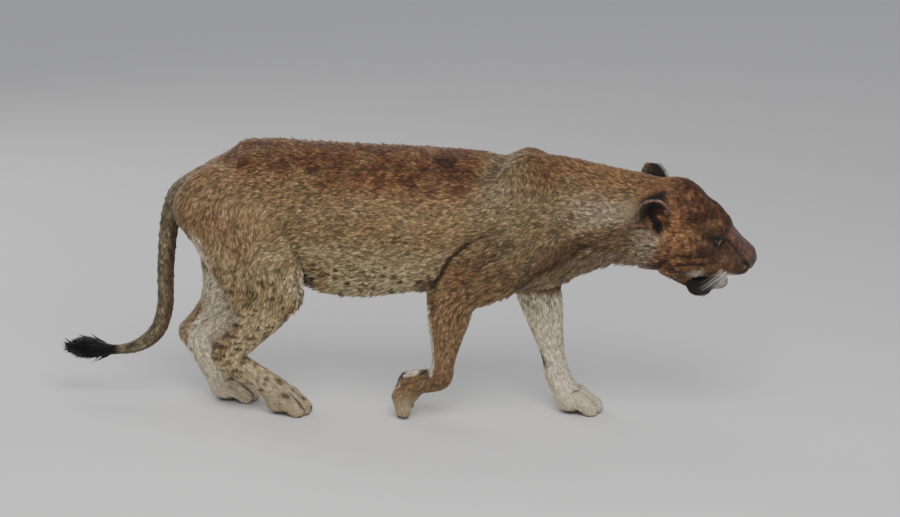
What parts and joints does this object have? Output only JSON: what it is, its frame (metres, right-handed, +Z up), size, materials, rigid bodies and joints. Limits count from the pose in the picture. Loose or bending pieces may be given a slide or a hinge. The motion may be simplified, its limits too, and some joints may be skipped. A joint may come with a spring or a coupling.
{
  "type": "lioness",
  "caption": "Life-size lioness walking with her head low and mouth a little open, near fore foot folded under and tail hanging to a black tuft.",
  "frame": {"origin": "under the middle of the bounding box, on the floor she stands on", "axes": "+X forward, towards her nose; +Y to her left; +Z up"},
  "size_m": [2.016, 0.3464, 0.8073],
  "materials": {
    "coat_tawny": "short tawny fur",
    "coat_pale": "short pale fur",
    "coat_rusty": "short red-brown fur",
    "hair_black": "long black hair",
    "nose_skin": "bare dark skin",
    "eye": "wet and glossy"
  },
  "bodies": {
    "root": {"head": "coat_tawny", "lower_jaw": "coat_pale", "nose": "nose_skin", "eye_left": "eye", "eye_right": "eye", "ear_left": "coat_rusty", "ear_right": "coat_rusty", "neck": "coat_tawny", "chest": "coat_tawny", "belly": "coat_tawny", "hindquarters": "coat_rusty", "tail_root": "coat_tawny", "tail_middle": "coat_tawny", "tail_end": "coat_tawny", "tail_tuft": "hair_black", "forearm_left": "coat_pale", "forearm_right": "coat_tawny", "forepaw_left": "coat_pale", "forepaw_right": "coat_pale", "thigh_left": "coat_tawny", "thigh_right": "coat_tawny", "shank_left": "coat_pale", "shank_right": "coat_tawny", "hindpaw_left": "coat_pale", "hindpaw_right": "coat_pale"}
  },
  "joints": []
}
